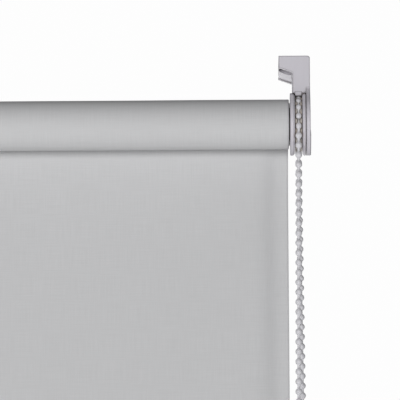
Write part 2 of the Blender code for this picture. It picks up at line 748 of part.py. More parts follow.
def bar_end_cap(name, end_x, outwards, look):
    """A flange over the hem's end with a tongue into the pocket."""
    margin = 2 * CAP_MARGIN
    inset = 2 * (HEM_WALL + GAP)
    flange = stadium(HEM_DEPTH + margin, HEM_HEIGHT + margin, SHEET_Y, HEM_MIDDLE_Z)
    tongue = stadium(HEM_DEPTH - inset, HEM_HEIGHT - inset, SHEET_Y, HEM_MIDDLE_Z)
    near = end_x + outwards * GAP
    far = near + outwards * CAP_FLANGE
    body = extrude_x(flange, min(near, far), max(near, far))
    inside = end_x - outwards * (BAR_END_GAP - GAP)
    root = near + outwards * CAP_FLANGE / 2
    insert = extrude_x(tongue, min(inside, root), max(inside, root))
    return place(name, soften(join(body, insert), EDGE_RADIUS), look)


def idle_bush(look):
    profile = [
        (IDLE_OUT_X + GAP, PIN_RADIUS + GAP),
        (IDLE_OUT_X + GAP, BUSH_RADIUS),
        (BOSS_END_X, BUSH_RADIUS),
        (BOSS_END_X, PIN_RADIUS + GAP),
    ]
    return place("idle_bush", turned(profile, closed=True), look)


def idle_plug(look):
    """Turns with the tube and holds the sprung pin in a chamber that is open at its inner end."""
    shoulder_end = TUBE_LEFT_X - GAP
    stations = [
        (IDLE_FACE_X, PIN_RADIUS + GAP),
        (IDLE_FACE_X, IDLE_SHOULDER_RADIUS - EDGE_RADIUS),
        (IDLE_FACE_X + EDGE_RADIUS, IDLE_SHOULDER_RADIUS),
        (shoulder_end, IDLE_SHOULDER_RADIUS),
        (shoulder_end, plug_outer),
        (IDLE_PLUG_X, plug_outer),
        (IDLE_PLUG_X, CHAMBER_RADIUS),
        (IDLE_FACE_X + IDLE_FACE_WALL, CHAMBER_RADIUS),
        (IDLE_FACE_X + IDLE_FACE_WALL, PIN_RADIUS + GAP),
    ]
    return place("idle_plug", shell(stations), look, (0, 0, AXIS_Z))


def idle_plug_cap(look):
    near = IDLE_PLUG_X + GAP
    bore = PIN_RADIUS + GAP
    spigot = CHAMBER_RADIUS - GAP
    stations = [
        (near - IDLE_CAP, bore),
        (near - IDLE_CAP, spigot),
        (near, spigot),
        (near, plug_outer),
        (near + IDLE_CAP, plug_outer),
        (near + IDLE_CAP, bore),
    ]
    return place("idle_plug_cap", shell(stations), look, (0, 0, AXIS_Z))


def idle_pin(look):
    collar_x = IDLE_FACE_X + IDLE_FACE_WALL + GAP
    tip_x = IDLE_OUT_X + GAP
    tail_x = IDLE_PLUG_X + GAP + IDLE_CAP + PIN_TAIL
    chamfer = 2 * EDGE_RADIUS
    profile = [
        (tip_x, 0),
        (tip_x, PIN_RADIUS - chamfer),
        (tip_x + chamfer, PIN_RADIUS),
        (collar_x, PIN_RADIUS),
        (collar_x, PIN_COLLAR_RADIUS),
        (collar_x + PIN_COLLAR, PIN_COLLAR_RADIUS),
        (collar_x + PIN_COLLAR, PIN_RADIUS),
        (tail_x - chamfer, PIN_RADIUS),
        (tail_x, PIN_RADIUS - chamfer),
        (tail_x, 0),
    ]
    return place("idle_pin", turned(profile, closed=False, segments=36), look, (0, 0, AXIS_Z))


def pin_spring(look):
    """A compression spring from the pin's collar to the chamber's cap."""
    x0 = IDLE_FACE_X + IDLE_FACE_WALL + 2 * GAP + PIN_COLLAR + PIN_SPRING_WIRE / 2
    x1 = IDLE_PLUG_X - IDLE_CAP - PIN_SPRING_WIRE / 2
    steps = 12 * PIN_SPRING_TURNS
    rings = []
    for i in range(steps + 1):
        share = i / steps
        angle = TURN * PIN_SPRING_TURNS * share
        y, z = polar(PIN_SPRING_RADIUS, angle)
        out = Vector((0, math.cos(angle), math.sin(angle)))
        centre = Vector((x0 + (x1 - x0) * share, y, z))
        around = [TURN * k / 6 for k in range(6)]
        wire = PIN_SPRING_WIRE / 2
        rings.append([centre + out * wire * math.cos(a) + Vector((wire * math.sin(a), 0, 0)) for a in around])
    return place("pin_spring", loft(rings), look, (0, 0, AXIS_Z))


def through(points, steps):
    """Points on a smooth curve through the route's points, steps[i] of them after each."""
    ends = [2 * points[0] - points[1], *points, 2 * points[-1] - points[-2]]
    curve = []
    for i, count in enumerate(steps):
        before, start, end, after = ends[i : i + 4]
        for k in range(count):
            t = k / count
            curve.append(
                0.5
                * (
                    2 * start
                    + (end - before) * t
                    + (2 * before - 5 * start + 4 * end - after) * t**2
                    + (3 * start - before - 3 * end + after) * t**3
                )
            )
    return curve + [points[-1]]


def tube_curve(name, points, look):
    data = bpy.data.curves.new(name, "CURVE")
    data.dimensions = "3D"
    data.bevel_depth = BEAD_DIAMETER / 2
    data.bevel_resolution = 2
    data.use_fill_caps = True
    spline = data.splines.new("POLY")
    spline.points.add(len(points) - 1)
    for slot, point in zip(spline.points, points):
        slot.co = (*point, 1)
    data.materials.append(look)
    obj = bpy.data.objects.new(name, data)
    obj.location = (0, 0, AXIS_Z)
    bpy.context.scene.collection.objects.link(obj)
    return obj


def bead_chain_upper(look):
    """The stretch that lies in the wheel's pockets, from the front over the top to the rear."""
    steps = 20
    angles = [math.pi - math.pi * i / steps for i in range(steps + 1)]
    points = [Vector((0, CHAIN_RADIUS * math.cos(a), CHAIN_RADIUS * math.sin(a))) for a in angles]
    return tube_curve("bead_chain_upper", points, look)


def bead_chain_loop(look):
    """The free loop that hangs from the wheel."""
    route = [Vector(point) * MM for point in CHAIN_ROUTE]
    straight, bent = ROUTE_STEPS
    steps = [straight if (b - a).length > 30 * MM else bent for a, b in zip(route, route[1:])]
    return tube_curve("bead_chain_loop", through(route, steps), look)


def chain_connector(look):
    """A sleeve that closes the chain's ends, in line with the rear strand."""
    inner = BEAD_DIAMETER / 2 + GAP
    outer = inner + CONNECTOR_WALL
    half = CONNECTOR_LENGTH / 2
    body = turned([(-half, inner), (-half, outer), (half, outer), (half, inner)], closed=True, segments=24,
                  centre=(0.0, 0.0))
    obj = place("chain_connector", soften(body, EDGE_RADIUS), look)
    obj.rotation_euler = Vector((1, 0, 0)).rotation_difference(Vector((-STRAND_DRIFT, 0, 1))).to_euler()
    obj.location = (CONNECTOR_DROP * STRAND_DRIFT, CHAIN_RADIUS, AXIS_Z - CONNECTOR_DROP)
    return obj


def build():
    clear_scene()
    plastic = material("moulded_plastic", PLASTIC, 0.42)
    clutch_plastic = material("clutch_plastic", PLASTIC, 0.38)
    inner_plastic = material("inner_plastic", (0.75, 0.75, 0.73, 1), 0.5)
    cloth = material("blind_fabric", FABRIC, 0.9)
    aluminium = material("tube_aluminium", METAL, 0.35, 1.0)
    steel = material("spring_steel", STEEL, 0.3, 1.0)
    beads = material("bead_plastic", BEADS, 0.35)
    strip = material("strip_plastic", (0.85, 0.85, 0.85, 1), 0.6)

    chain_bracket(plastic)
    clutch_housing(clutch_plastic)
    guard_cover(clutch_plastic)
    chain_wheel(inner_plastic)
    for number, start in enumerate(SPRING_STARTS, start=1):
        wrap_spring(f"wrap_spring_{number}", start, steel)
    drive_plug(inner_plastic)
    retaining_washer(steel)
    spindle_screw(steel)
    bead_chain_upper(beads)
    bead_chain_loop(beads)
    chain_connector(beads)
    roller_tube(aluminium)
    fixing_strip(strip)
    fabric_roll(cloth)
    hanging_fabric(cloth)
    hem_pocket(cloth)
    bottom_bar(aluminium)
    bar_end_cap("bar_end_cap_right", ROLL_RIGHT_X, 1, plastic)
    bar_end_cap("bar_end_cap_left", ROLL_LEFT_X, -1, plastic)
    idle_bracket(plastic)
    idle_bush(inner_plastic)
    idle_plug(inner_plastic)
    idle_plug_cap(inner_plastic)
    idle_pin(steel)
    pin_spring(steel)


build()
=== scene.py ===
"""The looks of the roller blind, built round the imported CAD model. Lengths are in metres."""

import math

import bpy
import numpy as np
from mathutils import Matrix, Vector


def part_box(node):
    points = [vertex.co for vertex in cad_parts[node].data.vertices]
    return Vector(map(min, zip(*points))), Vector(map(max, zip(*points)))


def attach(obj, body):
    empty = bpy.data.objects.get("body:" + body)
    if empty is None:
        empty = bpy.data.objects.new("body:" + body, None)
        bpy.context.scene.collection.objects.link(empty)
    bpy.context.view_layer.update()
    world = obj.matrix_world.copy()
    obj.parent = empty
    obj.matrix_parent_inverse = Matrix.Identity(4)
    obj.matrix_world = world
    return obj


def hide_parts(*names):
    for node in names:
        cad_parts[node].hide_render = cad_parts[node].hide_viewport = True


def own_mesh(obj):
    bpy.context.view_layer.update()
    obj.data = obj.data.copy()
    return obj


MM = 0.001
TURN = 2 * math.pi

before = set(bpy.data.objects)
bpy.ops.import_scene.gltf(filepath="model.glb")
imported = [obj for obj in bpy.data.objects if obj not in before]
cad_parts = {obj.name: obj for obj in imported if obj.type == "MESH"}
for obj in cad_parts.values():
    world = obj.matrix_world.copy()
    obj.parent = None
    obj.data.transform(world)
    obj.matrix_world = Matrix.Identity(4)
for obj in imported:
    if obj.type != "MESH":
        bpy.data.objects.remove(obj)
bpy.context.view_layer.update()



def corners_of(node):
    """The lowest and highest corner of a CAD node at rest."""
    low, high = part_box(node)
    return Vector(low), Vector(high)


# Places read from the frame
ROLL_LOW, ROLL_HIGH = corners_of("fabric_roll")
SHEET_LOW, SHEET_HIGH = corners_of("hanging_fabric")
HEM_LOW, HEM_HIGH = corners_of("hem_pocket")
WHEEL_LOW, WHEEL_HIGH = corners_of("chain_wheel")
BAR_REAR = corners_of("bottom_bar")[1].y
RIM_HALF = corners_of("bead_chain_upper")[1].x
AXIS_Z = (ROLL_LOW.z + ROLL_HIGH.z) / 2
ROLL_RADIUS = (ROLL_HIGH.z - ROLL_LOW.z) / 2
SHEET_Y = (SHEET_LOW.y + SHEET_HIGH.y) / 2

# The chain
BEAD_RADIUS = 2.05 * MM
BEAD_PITCH = 6.0 * MM
THREAD_RADIUS = 0.72 * MM
POCKETS = 16
FIRST_POCKET = math.radians(5.5)
CHAIN_RADIUS = POCKETS * BEAD_PITCH / TURN
FIRST_BEAD_DROP = 4.5 * MM  # below the axis, on the front strand
LAST_BEAD_DROP = 2.4 * MM  # below the axis, on the rear strand
CHAIN_SIDES = 12
ROUTE_STEP = 3 * MM  # between the points of the smooth route
ARC_STEPS = 90  # of the half turn on the wheel
ARC_TAIL = 0.2 * MM  # of straight chain below the axis, at each end of the half turn
# The route of part.py: x, y and z in millimetres from the wheel's centre.
CHAIN_ROUTE = (
    (0.00, -15.28, -0.3),
    (-0.77, -15.28, -100),
    (-1.54, -15.28, -200),
    (-2.31, -15.28, -300),
    (-3.08, -15.28, -400),
    (-3.85, -15.28, -500),
    (-4.62, -15.28, -600),
    (-5.39, -15.28, -700),
    (-6.16, -15.28, -800),
    (-6.93, -15.28, -900),
    (-7.47, -15.28, -970),
    (-7.76, -15.28, -1008),
    (-7.68, -15.0, -1019),
    (-7.05, -13.7, -1029),
    (-5.3, -10.4, -1038),
    (-2.75, -5.4, -1043.5),
    (0.0, 0.0, -1045),
    (2.75, 5.4, -1043.5),
    (5.3, 10.4, -1038),
    (7.05, 13.7, -1029),
    (7.68, 15.0, -1019),
    (7.76, 15.28, -1008),
    (7.47, 15.28, -970),
    (6.93, 15.28, -900),
    (6.16, 15.28, -800),
    (5.39, 15.28, -700),
    (4.62, 15.28, -600),
    (3.85, 15.28, -500),
    (3.08, 15.28, -400),
    (2.31, 15.28, -300),
    (1.54, 15.28, -200),
    (0.77, 15.28, -100),
    (0.00, 15.28, -0.3),
)
# One bead and half of the thread on each side of it: along the chain, and radius, in millimetres
BEAD_PROFILE = (
    (-1.98, 0.86),
    (-1.8, 1.06),
    (-1.5, 1.44),
    (-1.1, 1.74),
    (-0.55, 1.975),
    (0.0, 2.05),
    (0.55, 1.975),
    (1.1, 1.74),
    (1.5, 1.44),
    (1.8, 1.06),
    (1.98, 0.86),
)

# The wheel's toothed rim
POCKET_PLAY = 0.15 * MM
TOOTH_RISE = 1.3 * MM  # above the middle of the beads
SLOT_SIDE_PLAY = 0.25 * MM
SLOT_FLOOR_PLAY = 0.35 * MM
RIM_SEAT = 0.4 * MM  # that the rim starts below the CAD wheel's surface
RIM_STATIONS = (1.0, 0.9, 0.75, 0.6, 0.49, 0.45, 0.3, 0.15, 0.0)  # shares of its half width
POCKET_STEPS = 14  # round the wheel, for each pocket

# The cloth
CLOTH_THICKNESS = 0.4 * MM
THREAD_PITCH = 0.45 * MM
WOUND_TURNS = 2.55
LEAD_ANGLE = math.radians(80)  # that the outermost turn stands off the roll before it hangs
DROP_LENGTH = AXIS_Z - HEM_HIGH.z
LEAN_BACK = 1.15 * MM  # so that the waves stay clear of the roll when the blind is up
CURL_HEIGHT = 3.4 * MM  # of the cloth's side edges towards the wall
CURL_INSET = 12.0 * MM  # from the edge to the steepest place
CURL_WIDTH = 4.5 * MM
CURL_TURN = 0.8 * MM  # back again, at the very edge
CURL_LIP = 4.5 * MM
CURL_START = 13 * MM  # below the roll, over which the curl grows
CURL_LOSS = 0.45  # of the curl, by the hem
LEFT_CURL = 0.8  # of the right edge's curl
EDGE_DRAW = 0.55 * MM  # inwards, at the side edges
EDGE_DRAW_REACH = 8 * MM
WAVE_START = 60 * MM  # below the roll, over which the waves grow
SLOW_WAVES = ((0.41, 0.55 * MM, 0.6), (0.173, 0.22 * MM, 2.1), (0.097, 0.10 * MM, 4.0))
SLANTED_WAVES = ((0.29, 0.25 * MM, 1.3),)
WAVE_SLANT = 0.12  # sideways for each metre down
BAR_HOLD = 0.85  # of all of it, flattened at the bar
BAR_HOLD_FROM, BAR_HOLD_SPAN = 0.7, 0.3  # of the drop
HEM_TUCK = 1.2 * MM  # of the hanging cloth, inside the hem
RIGHT_INSETS = (0, 1.5, 3, 5, 7, 9, 11, 13, 15, 18, 21, 24, 28, 32, 37, 42)  # mm from the edge
LEFT_INSETS = (0, 1.5, 3, 5, 8, 11, 15, 20, 26, 33, 42)
TOP_DEPTHS = (0, 2, 4, 7, 10, 14, 18, 23, 30, 38, 48)  # mm below the axis
SHEET_COLUMNS = 62
SHEET_ROWS = 74
LEAD_STEPS = 26
LEAD_COLUMNS = 40
LEAD_CLEARANCE = 0.03 * MM
TURN_STEPS = 88
ROLL_COLUMNS = 44
LAYER_GAP = 0.02 * MM
OUTER_TURN = 0.9  # of a turn at the full radius
LAYER_STRAY = 0.12 * MM  # of the layers' edges, sideways
STRAY_RATE = 2.3

# The hem
HEM_SLACK = 0.55 * MM  # between the bar and the cloth
HEM_SHARES = (0.25, 0.45, 0.65, 0.85)  # down the flat sides
HEM_SHOULDER = 3.2 * MM  # below the top, where the pocket starts to close
HEM_NECK = 1.0 * MM
HEM_TURN_STEPS = 10
HEM_COLUMNS = 70
RIB_PITCH = 2 * MM
RIB_HEIGHT = 0.12 * MM
WELD_THICKNESS = 0.25 * MM

# The floor and the camera
FLOOR_Z = -1.55
CAMERA_AT = (-0.0256, -1.9060, AXIS_Z - 0.4493)
CAMERA_YAW = 0.01804
CAMERA_PITCH = 0.20815
CAMERA_ROLL = -0.00208
CAMERA_LENS = 289.45
SENSOR_WIDTH = 36
FLOOR_HALF = 40
FLOOR_GLOW = 0.42  # the light from below
BACKGROUND = 0.985
WORLD_GREYS = ((0.15, 0.24), (0.5, 0.10), (0.72, 0.03))  # place from straight below to above, grey
LIGHTS = (  # name, place, target, size, power
    ("key", (-0.5, -1.9, -0.18), (-0.1, 0, -0.15), 0.8, 20.5),
    ("fill", (1.0, -1.9, -0.3), (-0.1, 0, -0.2), 0.9, 3.5),
    ("back", (-0.9, 1.9, -0.9), (-0.3, 0, -0.5), 1.4, 18),
)

# Materials
SHARP_ANGLE = math.radians(48)
OCCLUSION_SAMPLES = 6
EDGE_SHADE_REACH = 0.9 * MM


# ---------------------------------------------------------------- camera and light


def add_camera():
    """A long lens from below, looking up and a little to the left."""
    ahead = Vector(
        (
            -math.sin(CAMERA_YAW) * math.cos(CAMERA_PITCH),
            math.cos(CAMERA_YAW) * math.cos(CAMERA_PITCH),
            math.sin(CAMERA_PITCH),
        )
    )
    level = Vector((math.cos(CAMERA_YAW), math.sin(CAMERA_YAW), 0))
    upright = level.cross(ahead)
    right = level * math.cos(CAMERA_ROLL) + upright * math.sin(CAMERA_ROLL)
    up = right.cross(ahead)
    turn = Matrix((right, up, -ahead)).transposed().to_4x4()
    data = bpy.data.cameras.new("camera")
    data.lens = CAMERA_LENS
    data.sensor_width = SENSOR_WIDTH
    data.clip_start = 0.05
    data.clip_end = 200
    camera = bpy.data.objects.new("camera", data)
    camera.matrix_world = Matrix.Translation(CAMERA_AT) @ turn
    bpy.context.scene.collection.objects.link(camera)
    bpy.context.scene.camera = camera


def add_area_light(name, place, target, size, power):
    data = bpy.data.lights.new(name, "AREA")
    data.shape = "DISK"
    data.size = size
    data.energy = power
    light = bpy.data.objects.new(name, data)
    light.location = place
    light.rotation_euler = (Vector(target) - Vector(place)).to_track_quat("-Z", "Y").to_euler()
    light.visible_camera = False
    bpy.context.scene.collection.objects.link(light)


def add_world():
    """White to the camera, and a dim light to the object. The floor hides the lower half of it."""
    world = bpy.data.worlds.new("world")
    world.use_nodes = True
    tree = world.node_tree
    tree.nodes.clear()
    output = tree.nodes.new("ShaderNodeOutputWorld")
    mix = tree.nodes.new("ShaderNodeMixShader")
    path = tree.nodes.new("ShaderNodeLightPath")
    seen = tree.nodes.new("ShaderNodeBackground")
    seen.inputs["Color"].default_value = (1, 1, 1, 1)
    seen.inputs["Strength"].default_value = BACKGROUND
    around = tree.nodes.new("ShaderNodeBackground")
    around.inputs["Strength"].default_value = 1.0
    around_point = tree.nodes.new("ShaderNodeTexCoord")
    split = tree.nodes.new("ShaderNodeSeparateXYZ")
    ramp = tree.nodes.new("ShaderNodeValToRGB")
    remap = tree.nodes.new("ShaderNodeMapRange")
    remap.inputs["From Min"].default_value = -1
    remap.inputs["From Max"].default_value = 1
    ramp.color_ramp.elements.new(0.5)
    for element, (place, grey) in zip(ramp.color_ramp.elements, WORLD_GREYS):
        element.position = place
        element.color = (grey, grey, grey * 1.01, 1)
    tree.links.new(around_point.outputs["Generated"], split.inputs["Vector"])
    tree.links.new(split.outputs["Z"], remap.inputs["Value"])
    tree.links.new(remap.outputs["Result"], ramp.inputs["Fac"])
    tree.links.new(ramp.outputs["Color"], around.inputs["Color"])
    tree.links.new(path.outputs["Is Camera Ray"], mix.inputs["Fac"])
    tree.links.new(around.outputs["Background"], mix.inputs[1])
    tree.links.new(seen.outputs["Background"], mix.inputs[2])
    tree.links.new(mix.outputs["Shader"], output.inputs["Surface"])
    bpy.context.scene.world = world
    bpy.context.scene.view_settings.view_transform = "Standard"


def add_lights():
    for light in LIGHTS:
        add_area_light(*light)


def add_floor():
    """A pale floor that glows a little: it is the light from below."""
    mesh = bpy.data.meshes.new("floor")
    signs = ((-1, -1), (1, -1), (1, 1), (-1, 1))
    corners = [(x * FLOOR_HALF, y * FLOOR_HALF, FLOOR_Z) for x, y in signs]
    mesh.from_pydata(corners, [], [(0, 1, 2, 3)])
    floor = bpy.data.objects.new("floor", mesh)
    bpy.context.scene.collection.objects.link(floor)
    look = bpy.data.materials.new("floor")
    look.use_nodes = True
    shader = look.node_tree.nodes["Principled BSDF"]
    shader.inputs["Base Color"].default_value = (0.8, 0.8, 0.8, 1)
    shader.inputs["Roughness"].default_value = 0.9
    shader.inputs["Emission Color"].default_value = (1, 1, 1, 1)
    shader.inputs["Emission Strength"].default_value = FLOOR_GLOW
    mesh.materials.append(look)


# ---------------------------------------------------------------- materials


class Look:
    """A Principled material whose nodes are added one by one."""

    def __init__(self, name, roughness, metallic=0.0, **sockets):
        self.material = bpy.data.materials.new(name)
        self.material.use_nodes = True
        self.tree = self.material.node_tree
        self.shader = self.tree.nodes["Principled BSDF"]
        self.shader.inputs["Roughness"].default_value = roughness
        self.shader.inputs["Metallic"].default_value = metallic
        for socket, value in sockets.items():
            self.shader.inputs[socket.replace("_", " ")].default_value = value

    def add(self, kind, inputs=(), **settings):
        """A node, with its settings and its inputs: numbers, or the outputs of other nodes."""
        node = self.tree.nodes.new("ShaderNode" + kind)
        for name, value in settings.items():
            setattr(node, name, value)
        for socket, value in dict(inputs).items():
            target = node.inputs[socket]
            if isinstance(value, bpy.types.NodeSocket):
                self.tree.links.new(value, target)
            else:
                target.default_value = value
        return node

    def math(self, operation, first, second=0.0):
        return self.add("Math", {0: first, 1: second}, operation=operation).outputs[0]

    def place(self):
        return self.add("TexCoord").outputs["Object"]

    def stretched(self, scale):
        """Object coordinates, scaled differently along each axis."""
        return self.add("Mapping", {"Vector": self.place(), "Scale": scale}).outputs["Vector"]

    def noise(self, vector, scale, detail=3.0, rough=0.55):
        inputs = {"Vector": vector, "Scale": scale, "Detail": detail, "Roughness": rough}
        return self.add("TexNoise", inputs).outputs["Fac"]

    def ramp(self, value, low, high, start=0.0, end=1.0):
        """From low to high, over the stretch of value from start to end."""
        inputs = {"Value": value, "From Min": start, "From Max": end, "To Min": low, "To Max": high}
        return self.add("MapRange", inputs).outputs["Result"]

    def between(self, value, first, second):
        """A colour from first to second."""
        node = self.add("Mix", {"Factor": value}, data_type="RGBA")
        for socket, colour in ((node.inputs[6], first), (node.inputs[7], second)):
            if isinstance(colour, bpy.types.NodeSocket):
                self.tree.links.new(colour, socket)
            else:
                socket.default_value = (*colour, 1)
        return node.outputs[2]

    def set(self, socket, value):
        self.tree.links.new(value, self.shader.inputs[socket])

    def bump(self, height, distance, strength=1.0, over=None):
        """A bump on the surface, or on the normal that another node gives."""
        inputs = {"Height": height, "Distance": distance, "Strength": strength}
        if over is not None:
            inputs["Normal"] = over
        self.set("Normal", self.add("Bump", inputs).outputs["Normal"])

    def crevices(self, reach, inside=False):
        """1 in the open and towards 0 in corners and grooves, or towards 0 at outer edges if inside."""
        node = self.add("AmbientOcclusion", {"Distance": reach}, samples=OCCLUSION_SAMPLES, inside=inside)
        return node.outputs["AO"]

    def softened(self, radius):
        """A normal that is rounded at the edges."""
        return self.add("Bevel", {"Radius": radius}, samples=OCCLUSION_SAMPLES).outputs["Normal"]


def moulded_plastic(
    name,
    colour,
    roughness,
    # The dark colour factor, reach and open_from below set the painted shade in corners, grooves and
    # holes.
    painted_shade_tint=(0.50, 0.46, 0.43),
    reach=1.6 * MM,
    open_from=0.95,
    rounding=0.0,
    # Painted shade along outer edges: how dark the edges get, 1 for none.
    painted_edge_shade=1.0,
):
    """Moulded plastic: faint flow marks, a fine grain, painted shade in corners and recesses, and rounded
    edges with painted shade along them.
    """
    look = Look(name, roughness, Specular_IOR_Level=0.45, Subsurface_Weight=0.08)
    look.shader.inputs["Subsurface Radius"].default_value = (0.9, 0.8, 0.75)
    look.shader.inputs["Subsurface Scale"].default_value = 0.6 * MM
    flow = look.noise(look.stretched((1, 1, 0.35)), 110, 4)
    tone = look.between(look.ramp(flow, 0, 1, 0.3, 0.7), [c * 0.965 for c in colour], colour)
    # Painted shade: the colour darkens along outer edges, as rounded edges turn away from the light.
    if painted_edge_shade < 1:
        edge = look.ramp(look.crevices(EDGE_SHADE_REACH, inside=True), 1, 0, 0.55, 0.95)
        tone = look.between(edge, tone, [c * painted_edge_shade for c in colour])
    # Painted shade: the colour darkens, with a brownish tint, in corners, grooves and holes where shade
    # falls.
    painted_crevice_shade = look.ramp(look.crevices(reach), 0, 1, open_from - 0.4, open_from)
    look.set("Base Color", look.between(painted_crevice_shade, [c * d * 1.5 for c, d in zip(colour, painted_shade_tint)], tone))
    grain = look.noise(look.place(), 2600, 2, 0.6)
    look.set("Roughness", look.ramp(grain, roughness - 0.06, roughness + 0.08, 0.3, 0.7))
    height = look.math("ADD", look.math("MULTIPLY", grain, 0.35), look.noise(look.place(), 300, 2))
    look.bump(height, 0.03 * MM, 0.6, look.softened(rounding) if rounding else None)
    return look.material


def bead_plastic():
    look = Look("bead_plastic", 0.45, Specular_IOR_Level=0.4, Subsurface_Weight=0.15)
    look.shader.inputs["Subsurface Radius"].default_value = (1.0, 0.95, 0.9)
    look.shader.inputs["Subsurface Scale"].default_value = 0.8 * MM
    flow = look.noise(look.place(), 420, 2)
    tone = look.between(look.ramp(flow, 0, 1, 0.3, 0.7), (0.64, 0.635, 0.665), (0.70, 0.695, 0.725))
    # Painted shade: the colour darkens where the beads meet the thread and near other parts.
    painted_crevice_shade = look.ramp(look.crevices(1.2 * MM), 0, 1, 0.1, 0.85)
    look.set("Base Color", look.between(painted_crevice_shade, (0.36, 0.34, 0.31), tone))
    look.bump(look.noise(look.place(), 1400, 2), 0.03 * MM, 0.5)
    return look.material


def clear_plastic():
    look = Look("clear_plastic", 0.16, Transmission_Weight=0.45, IOR=1.45)
    flow = look.noise(look.place(), 500, 3)
    look.set("Base Color", look.between(flow, (0.80, 0.80, 0.81), (0.9, 0.9, 0.9)))
    look.bump(flow, 0.05 * MM, 0.5)
    return look.material


def metal(name, colour, roughness):
    """Drawn or turned metal, with its draw lines along the roll."""
    look = Look(name, roughness, 1.0)
    lines = look.noise(look.stretched((0.015, 1.0, 1.0)), 4200, 3)
    spots = look.noise(look.place(), 90, 4)
    tone = look.between(look.ramp(spots, 0, 1, 0.35, 0.7), [c * 0.86 for c in colour], colour)
    look.set("Base Color", tone)
    look.set("Roughness", look.ramp(lines, roughness - 0.06, roughness + 0.12, 0.3, 0.7))
    look.bump(lines, 0.02 * MM, 0.5)
    return look.material


def blind_cloth():
    """Fine plain weave with a coating: threads both ways from the UV map, slubs, and soft bands."""
    look = Look("blind_cloth", 0.78, Specular_IOR_Level=0.28, Sheen_Weight=0.12, Sheen_Roughness=0.5)
    where = look.add("UVMap").outputs["UV"]
    split = look.add("SeparateXYZ", {"Vector": where})
    across = look.math("MULTIPLY", split.outputs["X"], TURN / THREAD_PITCH / 2)
    down = look.math("MULTIPLY", split.outputs["Y"], TURN / THREAD_PITCH / 2)
    weft = look.math("ABSOLUTE", look.math("SINE", across))
    warp = look.math("ABSOLUTE", look.math("SINE", down))
    over = look.math("MULTIPLY", look.math("SINE", across), look.math("SINE", down))
    threads = look.add("Mix", {"Factor": look.ramp(over, 0, 1, -0.4, 0.4), 2: weft, 3: warp}).outputs[0]
    slub_x = look.add("Mapping", {"Vector": where, "Scale": (1, 0.03, 1)}).outputs["Vector"]
    slub_y = look.add("Mapping", {"Vector": where, "Scale": (0.03, 1, 1)}).outputs["Vector"]
    uneven = look.math("ADD", look.noise(slub_x, 1900, 2), look.noise(slub_y, 1900, 2))
    cloudy = look.noise(where, 9, 3)
    tone = look.between(look.ramp(uneven, 0, 1, 0.75, 1.25), (0.585, 0.587, 0.594), (0.635, 0.637, 0.645))
    tone = look.between(look.ramp(cloudy, 0, 0.35, 0.35, 0.65), tone, (0.575, 0.577, 0.583))
    thread_tone = look.between(look.ramp(threads, 0, 0.16, 0.0, 0.6), (0.50, 0.50, 0.51), tone)
    look.set("Base Color", look.between(0.75, thread_tone, tone))
    height = look.math("ADD", threads, look.math("MULTIPLY", uneven, 0.6))
    look.bump(height, 0.05 * MM, 0.35)
    return look.material


def edge_cloth():
    """The cut edge of the same cloth, where the layers show."""
    look = Look("cut_cloth", 0.85, Specular_IOR_Level=0.2)
    layers = look.noise(look.place(), 2500, 2)
    layer_tone = look.ramp(layers, 0, 1, 0.35, 0.65)
    look.set("Base Color", look.between(layer_tone, (0.36, 0.36, 0.36), (0.56, 0.56, 0.56)))
    look.bump(layers, 0.05 * MM, 0.6)
    return look.material


# ---------------------------------------------------------------- mesh helpers


def add_piece(name, verts, faces, look, body, uv=None):
    """A mesh piece that rides on a body. uv gives a (u, v) for each vertex."""
    mesh = bpy.data.meshes.new(name)
    mesh.from_pydata([tuple(map(float, v)) for v in verts], [], faces)
    mesh.materials.append(look)
    if uv is not None:
        layer = mesh.uv_layers.new(name="cloth")
        for loop in mesh.loops:
            layer.data[loop.index].uv = uv[loop.vertex_index]
    mesh.update()
    corner = mesh.vertices
    volume = sum(corner[f.vertices[0]].co.dot(f.normal) * f.area for f in mesh.polygons)
    if volume < 0:  # the faces point inwards
        mesh.flip_normals()
    mesh.polygons.foreach_set("use_smooth", [True] * len(mesh.polygons))
    piece = bpy.data.objects.new(name, mesh)
    bpy.context.scene.collection.objects.link(piece)
    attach(piece, body)
    return piece


def cloth(name, grid, uv, look, body, thickness=CLOTH_THICKNESS):
    """A sheet of the given thickness round a grid of points, rows by columns."""
    rows, columns = grid.shape[:2]
    normal = np.cross(np.gradient(grid, axis=1), np.gradient(grid, axis=0))
    normal /= np.linalg.norm(normal, axis=2, keepdims=True)
    both = [grid + normal * thickness / 2, grid - normal * thickness / 2]
    verts = np.concatenate([side.reshape(-1, 3) for side in both])
    second = rows * columns

    def at(i, j, side):
        return i * columns + j + side * second

    faces = []
    for i in range(rows - 1):
        for j in range(columns - 1):
            quad = [(i, j), (i, j + 1), (i + 1, j + 1), (i + 1, j)]
            faces.append([at(a, b, 0) for a, b in quad])
            faces.append([at(a, b, 1) for a, b in reversed(quad)])
        for j, order in ((0, 1), (columns - 1, -1)):
            rim = [at(i, j, 0), at(i + 1, j, 0), at(i + 1, j, 1), at(i, j, 1)]
            faces.append(rim[::order])
    for i, order in ((0, -1), (rows - 1, 1)):
        for j in range(columns - 1):
            rim = [at(i, j, 0), at(i, j + 1, 0), at(i, j + 1, 1), at(i, j, 1)]
            faces.append(rim[::order])
    pairs = [tuple(p) for p in uv.reshape(-1, 2)] * 2
    return add_piece(name, verts, faces, look, body, pairs)


def turned(name, profile, steps, look, body):
    """A closed ring about the roll's axis from (x, radius) stations; a radius may depend on the angle."""
    verts, faces = [], []
    for x, radius in profile:
        for k in range(steps):
            angle = TURN * k / steps
            r = radius(angle) if callable(radius) else radius
            verts.append((x, r * math.cos(angle), AXIS_Z + r * math.sin(angle)))
    count = len(profile)
    for i in range(count):
        for k in range(steps):
            n = (k + 1) % steps
            j = (i + 1) % count
            faces.append((i * steps + k, i * steps + n, j * steps + n, j * steps + k))
    return add_piece(name, verts, faces, look, body)


def waves(place, terms):
    """A sum of sines: (length, size, phase) each."""
    return sum(size * math.sin(TURN * place / length + phase) for length, size, phase in terms)


# ---------------------------------------------------------------- bead chain


